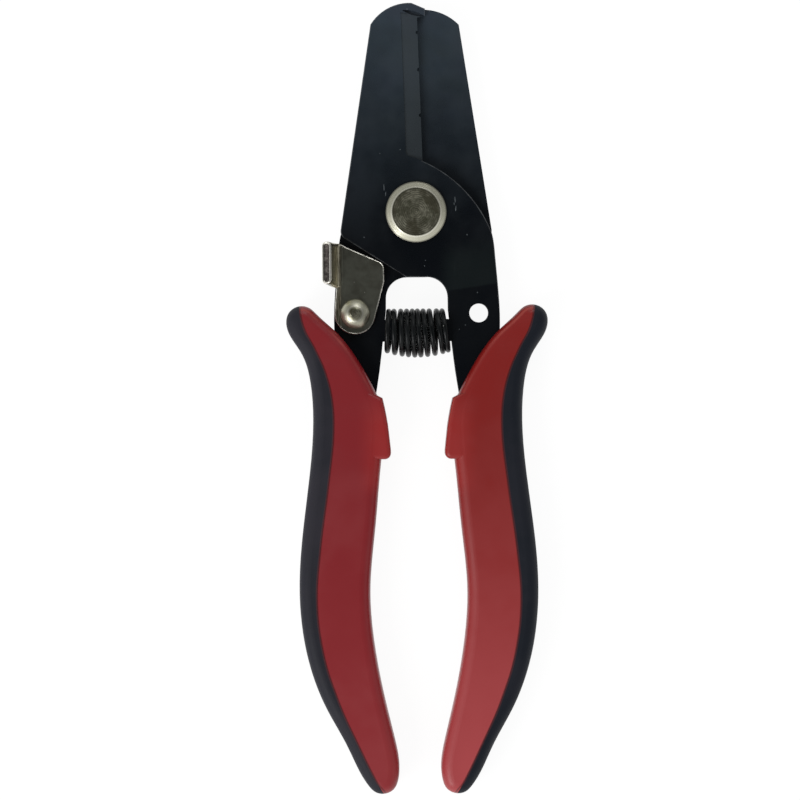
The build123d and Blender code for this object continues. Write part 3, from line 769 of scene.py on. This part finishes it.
def catch_line(count):
    """The catch's outline: its arcs and points in order, joined by straight runs, walked in
    equal steps and softened by a short running mean, with the outward normals."""
    corners = []
    for part in CATCH_OUTLINE:
        if len(part) == 2:
            corners.append(np.array([part]))
        else:
            centre, radius, start, end = part
            turn = np.radians(np.linspace(start, end, 24))
            corners.append(np.array(centre) + radius * np.stack((np.cos(turn), np.sin(turn)), axis=1))
    corners = np.concatenate(corners)
    closed = np.concatenate((corners, corners[:1]))
    walked = np.concatenate(([0.0], np.cumsum(np.linalg.norm(np.diff(closed, axis=0), axis=1))))
    steps = np.linspace(0.0, walked[-1], count, endpoint=False)
    line = np.stack([np.interp(steps, walked, closed[:, axis]) for axis in (0, 1)], axis=1)
    line = sum(np.roll(line, shift, axis=0) for shift in (-1, 0, 1)) / 3.0
    tangent = np.roll(line, -1, axis=0) - np.roll(line, 1, axis=0)
    tangent /= np.linalg.norm(tangent, axis=1, keepdims=True)
    return line, np.stack((tangent[:, 1], -tangent[:, 0]), axis=1), steps


def catch_flat(count):
    """The catch's flat: a section of rim points, each an inset and a height, carried round the
    outline and joined to the rivet's hole. The burr's height wavers along the outline, most
    where the shear tore it, on the side by the spring."""
    line, outward, steps = catch_line(count)
    middle = (CATCH_PIVOT[:2] - PIVOT[:2]) / MM
    inward = line - middle
    inward /= np.linalg.norm(inward, axis=1, keepdims=True)
    hole, round_hole = middle + CATCH_HOLE * inward, middle + (CATCH_HOLE + 0.2) * inward
    torn = np.clip((line[:, 0] + 10.5) / 1.5, 0.0, 1.0) * (0.5 + 0.5 * np.sin(steps * 2 * np.pi / 0.6))
    waver = 0.5 + 0.3 * np.sin(steps * 2.1) + 0.2 * np.sin(steps * 5.3 + 1.0) + 0.9 * torn
    rings = [np.column_stack((hole, np.zeros(count))), np.column_stack((round_hole, np.zeros(count)))]
    for inset, height in CATCH_RIM:
        burr = (height > CATCH_THICKNESS) * (0.035 * waver)
        rings.append(np.column_stack((line - inset * outward, np.full(count, height) + burr)))
    top = np.full(count, CATCH_THICKNESS)
    rings += [np.column_stack((round_hole, top)), np.column_stack((hole, top))]
    rim = np.zeros((len(rings), count))
    rim[CATCH_BRIGHT_RINGS] = 0.55 + 0.45 * np.clip(waver, 0.0, 1.0)
    rim[CATCH_SHEAR_RING] = 0.5
    return np.array(rings), rim


def catch_tab():
    """The catch's tab: a rounded rectangle, a circle pulled apart both ways, carried up a cubic
    curve that bends out of the flat, growing thicker; its end rings run over a rim and into a
    shallow torn dent."""
    share = np.linspace(0.0, 1.0, 22)
    first, second, third, last = np.array(TAB_LINE)
    weights = np.stack(((1 - share) ** 3, 3 * share * (1 - share) ** 2,
                        3 * share ** 2 * (1 - share), share ** 3))
    path = np.stack((first, second, third, last)).T @ weights
    slope = np.gradient(path, axis=1)
    slope /= np.linalg.norm(slope, axis=0)
    ends = np.array(TAB_END)
    advance = np.concatenate((np.zeros(len(share) - 1), ends[:, 0]))
    inset = np.concatenate((np.zeros(len(share) - 1), ends[:, 1]))
    share = np.concatenate((share[:-1], np.ones(len(ends))))
    path = np.concatenate((path[:, :-1], np.repeat(path[:, -1:], len(ends), axis=1)), axis=1)
    slope = np.concatenate((slope[:, :-1], np.repeat(slope[:, -1:], len(ends), axis=1)), axis=1)
    path = path + slope * advance
    half = np.interp(share, (0, 1), TAB_HALF_WIDTHS) - inset
    thick = np.interp(share, (0, 1), TAB_HALF_THICKNESSES) - inset
    middle = np.interp(share, (0, 1), TAB_MIDDLES)
    round_off = np.clip(thick - 0.06, 0.08, None)
    turn = (np.arange(48) + 0.5) * 2 * np.pi / 48
    along = np.sign(np.cos(turn)) * (half - round_off)[:, None] + round_off[:, None] * np.cos(turn)
    across = np.sign(np.sin(turn)) * (thick - round_off)[:, None] + round_off[:, None] * np.sin(turn)
    rings = np.stack((path[0][:, None] + across * slope[1][:, None], middle[:, None] + along,
                      path[1][:, None] - across * slope[0][:, None]), axis=-1)
    count = len(ends)
    rim, torn = np.zeros(rings.shape[:2]), np.zeros(rings.shape[:2])
    rim[-count + 1:-2] = 1.0
    torn[-2:] = 1.0
    return rings, rim, torn


def grid_faces(rows, columns, first, wrap_rows):
    """Quads of a grid of rows whose columns close on themselves, and its rows too if asked."""
    row = np.arange(rows if wrap_rows else rows - 1)[:, None]
    column = np.arange(columns)[None, :]
    above, beside = (row + 1) % rows, (column + 1) % columns
    corners = (row * columns + column, row * columns + beside,
               above * columns + beside, above * columns + column)
    return np.stack(corners, axis=-1).reshape(-1, 4) + first


def close_ring(ring, hub, turned):
    """Triangles from a ring of points to a hub."""
    beside = np.roll(ring, -1)
    pair = (beside, ring) if turned else (ring, beside)
    return np.stack((np.full(len(ring), hub), *pair), axis=1)


class STRIPPER_OT_plates(bpy.types.Operator):
    """Give both steel plates their black oxide"""

    bl_idname = "stripper.plates"
    bl_label = "Dress plates"

    def execute(self, context):
        oxide = black_oxide()
        dress("front_plate", oxide)
        dress("back_plate", oxide)
        return {"FINISHED"}


class STRIPPER_OT_scuffs(bpy.types.Operator):
    """Add the scuffs and specks on the front plate's face"""

    bl_idname = "stripper.scuffs"
    bl_label = "Add scuffs"

    def execute(self, context):
        sizes = context.scene.stripper_sizes
        points, quads, tops = scuff_marks(SCUFFS, PLATE_FACE, sizes.scuff_height)
        scuffs = make_piece("plate_scuffs", points, quads, bare_scuff(), tops)
        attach(scuffs, "front_lever")
        return {"FINISHED"}


class STRIPPER_OT_pivot(bpy.types.Operator):
    """Give the pivot rivet and its collar their turned nickel"""

    bl_idname = "stripper.pivot"
    bl_label = "Dress pivot"

    def execute(self, context):
        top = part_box("pivot_rivet")[1].z
        dress("pivot_rivet", turned_nickel("turned_nickel", PIVOT, top, PIVOT_HEAD))
        dress("pivot_collar", turned_nickel("turned_collar", PIVOT, top, COLLAR_HEAD))
        return {"FINISHED"}


class STRIPPER_OT_catch(bpy.types.Operator):
    """Form the lock catch with its burred rim and torn tab, and dress its rivet"""

    bl_idname = "stripper.catch"
    bl_label = "Form catch"

    def execute(self, context):
        count = context.scene.stripper_sizes.catch_steps
        flat, flat_rim = catch_flat(count)
        tab, tab_rim, tab_torn = catch_tab()
        flat_points, tab_points = flat.reshape(-1, 3), tab.reshape(-1, 3)
        hubs = np.array([tab[0].mean(axis=0), tab[-1].mean(axis=0)])
        points = np.concatenate((flat_points, tab_points, hubs))
        points = points * MM + (0.0, PIVOT[1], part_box("lock_catch")[0].z)
        quads = np.concatenate((grid_faces(len(flat), count, 0, True),
                                grid_faces(len(tab), tab.shape[1], len(flat_points), False)[:, ::-1]))
        root = len(flat_points) + np.arange(tab.shape[1])
        end = root + (len(tab) - 1) * tab.shape[1]
        caps = np.concatenate((close_ring(root, len(points) - 2, False),
                               close_ring(end, len(points) - 1, True)))
        catch = make_piece("formed_catch", points, quads, stamped_nickel(), caps.tolist())
        normals = np.empty(3 * len(catch.data.polygons))
        catch.data.polygons.foreach_get("normal", normals)
        catch.data.polygons.foreach_set("use_smooth", np.abs(normals[2::3]) < FLAT_NORMAL)
        zeros = np.zeros(len(flat_points))
        for name, values in (("rim", (flat_rim.ravel(), tab_rim.ravel(), [0.0, 0.0])),
                             ("torn", (zeros, tab_torn.ravel(), [0.0, 1.0]))):
            attribute = catch.data.attributes.new(name, "FLOAT", "POINT")
            attribute.data.foreach_set("value", np.concatenate(values))
        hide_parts("lock_catch")
        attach(catch, "catch")
        face_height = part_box("catch_rivet")[1].z - DOME_DROP
        dress("catch_rivet", turned_nickel("domed_nickel", CATCH_PIVOT, face_height, DOME_HEAD))
        return {"FINISHED"}


class STRIPPER_OT_spring(bpy.types.Operator):
    """Wind the return spring with its uneven coils"""

    bl_idname = "stripper.spring"
    bl_label = "Wind spring"

    def execute(self, context):
        sizes = context.scene.stripper_sizes
        centre, outward = spring_line(sizes.steps_per_turn)
        points, quads, caps = sweep_wire(centre, outward, sizes.wire_radius, sizes.wire_sides)
        spring = make_piece("wound_spring", points, quads, lacquered_wire(), caps)
        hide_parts("return_spring")
        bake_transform(spring)
        return {"FINISHED"}


class STRIPPER_OT_grips(bpy.types.Operator):
    """Give both grips their red and black mouldings"""

    bl_idname = "stripper.grips"
    bl_label = "Dress grips"

    def execute(self, context):
        red, black = red_moulding(), black_moulding()
        for side in ("left", "right"):
            dress(f"{side}_grip_body", red)
            dress(f"{side}_grip_edge", black)
        return {"FINISHED"}


def light_world(stage):
    """The room: white to the camera, dim overhead and bright round the sides to gloss, even to
    everything else."""
    world = bpy.data.worlds.new("studio")
    bpy.context.scene.world = world
    tree = empty_tree(world)
    path = put(tree, "ShaderNodeLightPath").outputs
    direction = put(tree, "ShaderNodeTexCoord").outputs["Generated"]
    parts = put(tree, "ShaderNodeSeparateXYZ", {0: direction}).outputs
    sides = ramp(tree, parts[2], 0.86, 0.25)
    near = ramp(tree, parts[1], 0.5, -0.9, 0.38, 1.0)
    beside = ramp(tree, parts[0], -0.8, 0.8, 1.05, 0.72)
    glossy = reckon(tree, "MULTIPLY_ADD", sides, times(tree, near, beside), 0.035)
    even = times(tree, reckon(tree, "SUBTRACT", 1.0, path["Is Glossy Ray"]), stage.room_light)
    seen = reckon(tree, "MULTIPLY_ADD", glossy, path["Is Glossy Ray"], even)
    open_view = reckon(tree, "MAXIMUM", path["Is Camera Ray"], path["Is Transmission Ray"])
    strength = reckon(tree, "MAXIMUM", seen, open_view)
    background = put(tree, "ShaderNodeBackground", {"Color": (1, 1, 1, 1), "Strength": strength})
    output = put(tree, "ShaderNodeOutputWorld")
    tree.links.new(background.outputs[0], output.inputs["Surface"])


def floor_material():
    """White floor: it shines white to the camera and to gloss, and still takes a faint shadow."""
    material = bpy.data.materials.new("studio_floor")
    tree = empty_tree(material)
    path = put(tree, "ShaderNodeLightPath").outputs
    plain = put(tree, "ShaderNodeBsdfDiffuse", {"Color": (0.9, 0.9, 0.9, 1.0)}).outputs[0]
    clear = reckon(tree, "MAXIMUM", path["Is Glossy Ray"], path["Is Transmission Ray"])
    shown = reckon(tree, "MAXIMUM", path["Is Camera Ray"], clear)
    glow = put(tree, "ShaderNodeEmission", {"Color": (1, 1, 1, 1), "Strength": FLOOR_GLOW}).outputs[0]
    share = times(tree, shown, FLOOR_SHARE)
    mixed = put(tree, "ShaderNodeMixShader", {0: share, 1: plain, 2: glow}).outputs[0]
    output = put(tree, "ShaderNodeOutputMaterial")
    tree.links.new(mixed, output.inputs["Surface"])
    return material


def add_lamp(name, place_of_lamp, aim, size, power):
    """A square area lamp turned towards a point."""
    lamp = bpy.data.lights.new(name, "AREA")
    lamp.size = size
    lamp.energy = power
    holder = bpy.data.objects.new(name, lamp)
    bpy.context.scene.collection.objects.link(holder)
    back = np.array(place_of_lamp) - np.array(aim)
    back /= np.linalg.norm(back)
    side = np.cross((0.0, 1.0, 0.0), back)
    side /= np.linalg.norm(side)
    upward = np.cross(back, side)
    matrix = np.eye(4)
    matrix[:3, 0], matrix[:3, 1], matrix[:3, 2], matrix[:3, 3] = side, upward, back, place_of_lamp
    holder.matrix_world = Matrix(matrix.tolist())
    return holder


class STRIPPER_OT_stage(bpy.types.Operator):
    """Set the camera, the floor, the lamps and the room"""

    bl_idname = "stripper.stage"
    bl_label = "Set stage"

    def execute(self, context):
        scene = context.scene
        stage = scene.stripper_stage
        scene.view_settings.view_transform = "Standard"
        middle = PHOTO_SIDE / 2
        step = (middle - PIVOT_PIXEL[0], middle - PIVOT_PIXEL[1])
        centre_x = PIXEL * (step[0] - LEAN * step[1]) * MM
        centre_y = float(PIVOT[1]) - PIXEL * (LEAN * step[0] + step[1]) * MM
        camera = bpy.data.cameras.new("photo_camera")
        camera.lens = stage.lens
        camera.clip_start, camera.clip_end = 0.01, 10.0
        reach = PHOTO_SIDE * PIXEL * MM * stage.lens / camera.sensor_width
        holder = bpy.data.objects.new("photo_camera", camera)
        holder.location = (centre_x, centre_y, PLATE_FACE + reach)
        holder.rotation_euler = (0.0, 0.0, -LEAN)
        scene.collection.objects.link(holder)
        scene.camera = holder
        corners = FLOOR_HALF * np.array([(-1, -1, 0), (1, -1, 0), (1, 1, 0), (-1, 1, 0)], float)
        corners[:, 2] = CAD_BOX[0].z - stage.floor_gap
        floor = make_piece("studio_floor", corners, np.array([[0, 1, 2, 3]]), floor_material())
        add_lamp("key_lamp", (-0.34, -0.3, 0.42), (0.0, -0.01, 0.0), 0.34, stage.key_power)
        add_lamp("fill_lamp", (0.1, 0.5, 0.4), (0.0, 0.03, 0.0), 0.3, stage.fill_power)
        light_world(stage)
        return {"FINISHED"}


class STRIPPER_PT_panel(bpy.types.Panel):
    """Lists the dressing's steps and settings"""

    bl_idname = "STRIPPER_PT_panel"
    bl_label = "Wire stripper"
    bl_space_type = "VIEW_3D"
    bl_region_type = "UI"
    bl_category = "Stripper"

    def draw(self, context):
        layout = self.layout
        for operator in OPERATORS:
            layout.operator(operator.bl_idname)
        for group in ("stripper_sizes", "stripper_finishes", "stripper_stage"):
            settings = getattr(context.scene, group)
            box = layout.box()
            for name in settings.__annotations__:
                box.prop(settings, name)


OPERATORS = (STRIPPER_OT_stage, STRIPPER_OT_plates, STRIPPER_OT_scuffs, STRIPPER_OT_pivot,
             STRIPPER_OT_catch, STRIPPER_OT_spring, STRIPPER_OT_grips)
GROUPS = {"stripper_sizes": StripperSizes, "stripper_finishes": StripperFinishes,
          "stripper_stage": StripperStage}


def register():
    """Registers the classes and hangs the settings on the scene."""
    for cls in (*GROUPS.values(), *OPERATORS, STRIPPER_PT_panel):
        bpy.utils.register_class(cls)
    for name, cls in GROUPS.items():
        setattr(bpy.types.Scene, name, PointerProperty(type=cls))


def unregister():
    """Takes the settings off the scene and unregisters the classes."""
    for name in GROUPS:
        delattr(bpy.types.Scene, name)
    for cls in (STRIPPER_PT_panel, *reversed(OPERATORS), *reversed(GROUPS.values())):
        bpy.utils.unregister_class(cls)


def main():
    """Makes everything in order."""
    register()
    for operator in OPERATORS:
        group, name = operator.bl_idname.split(".")
        getattr(getattr(bpy.ops, group), name)()


if __name__ == "__main__":
    main()
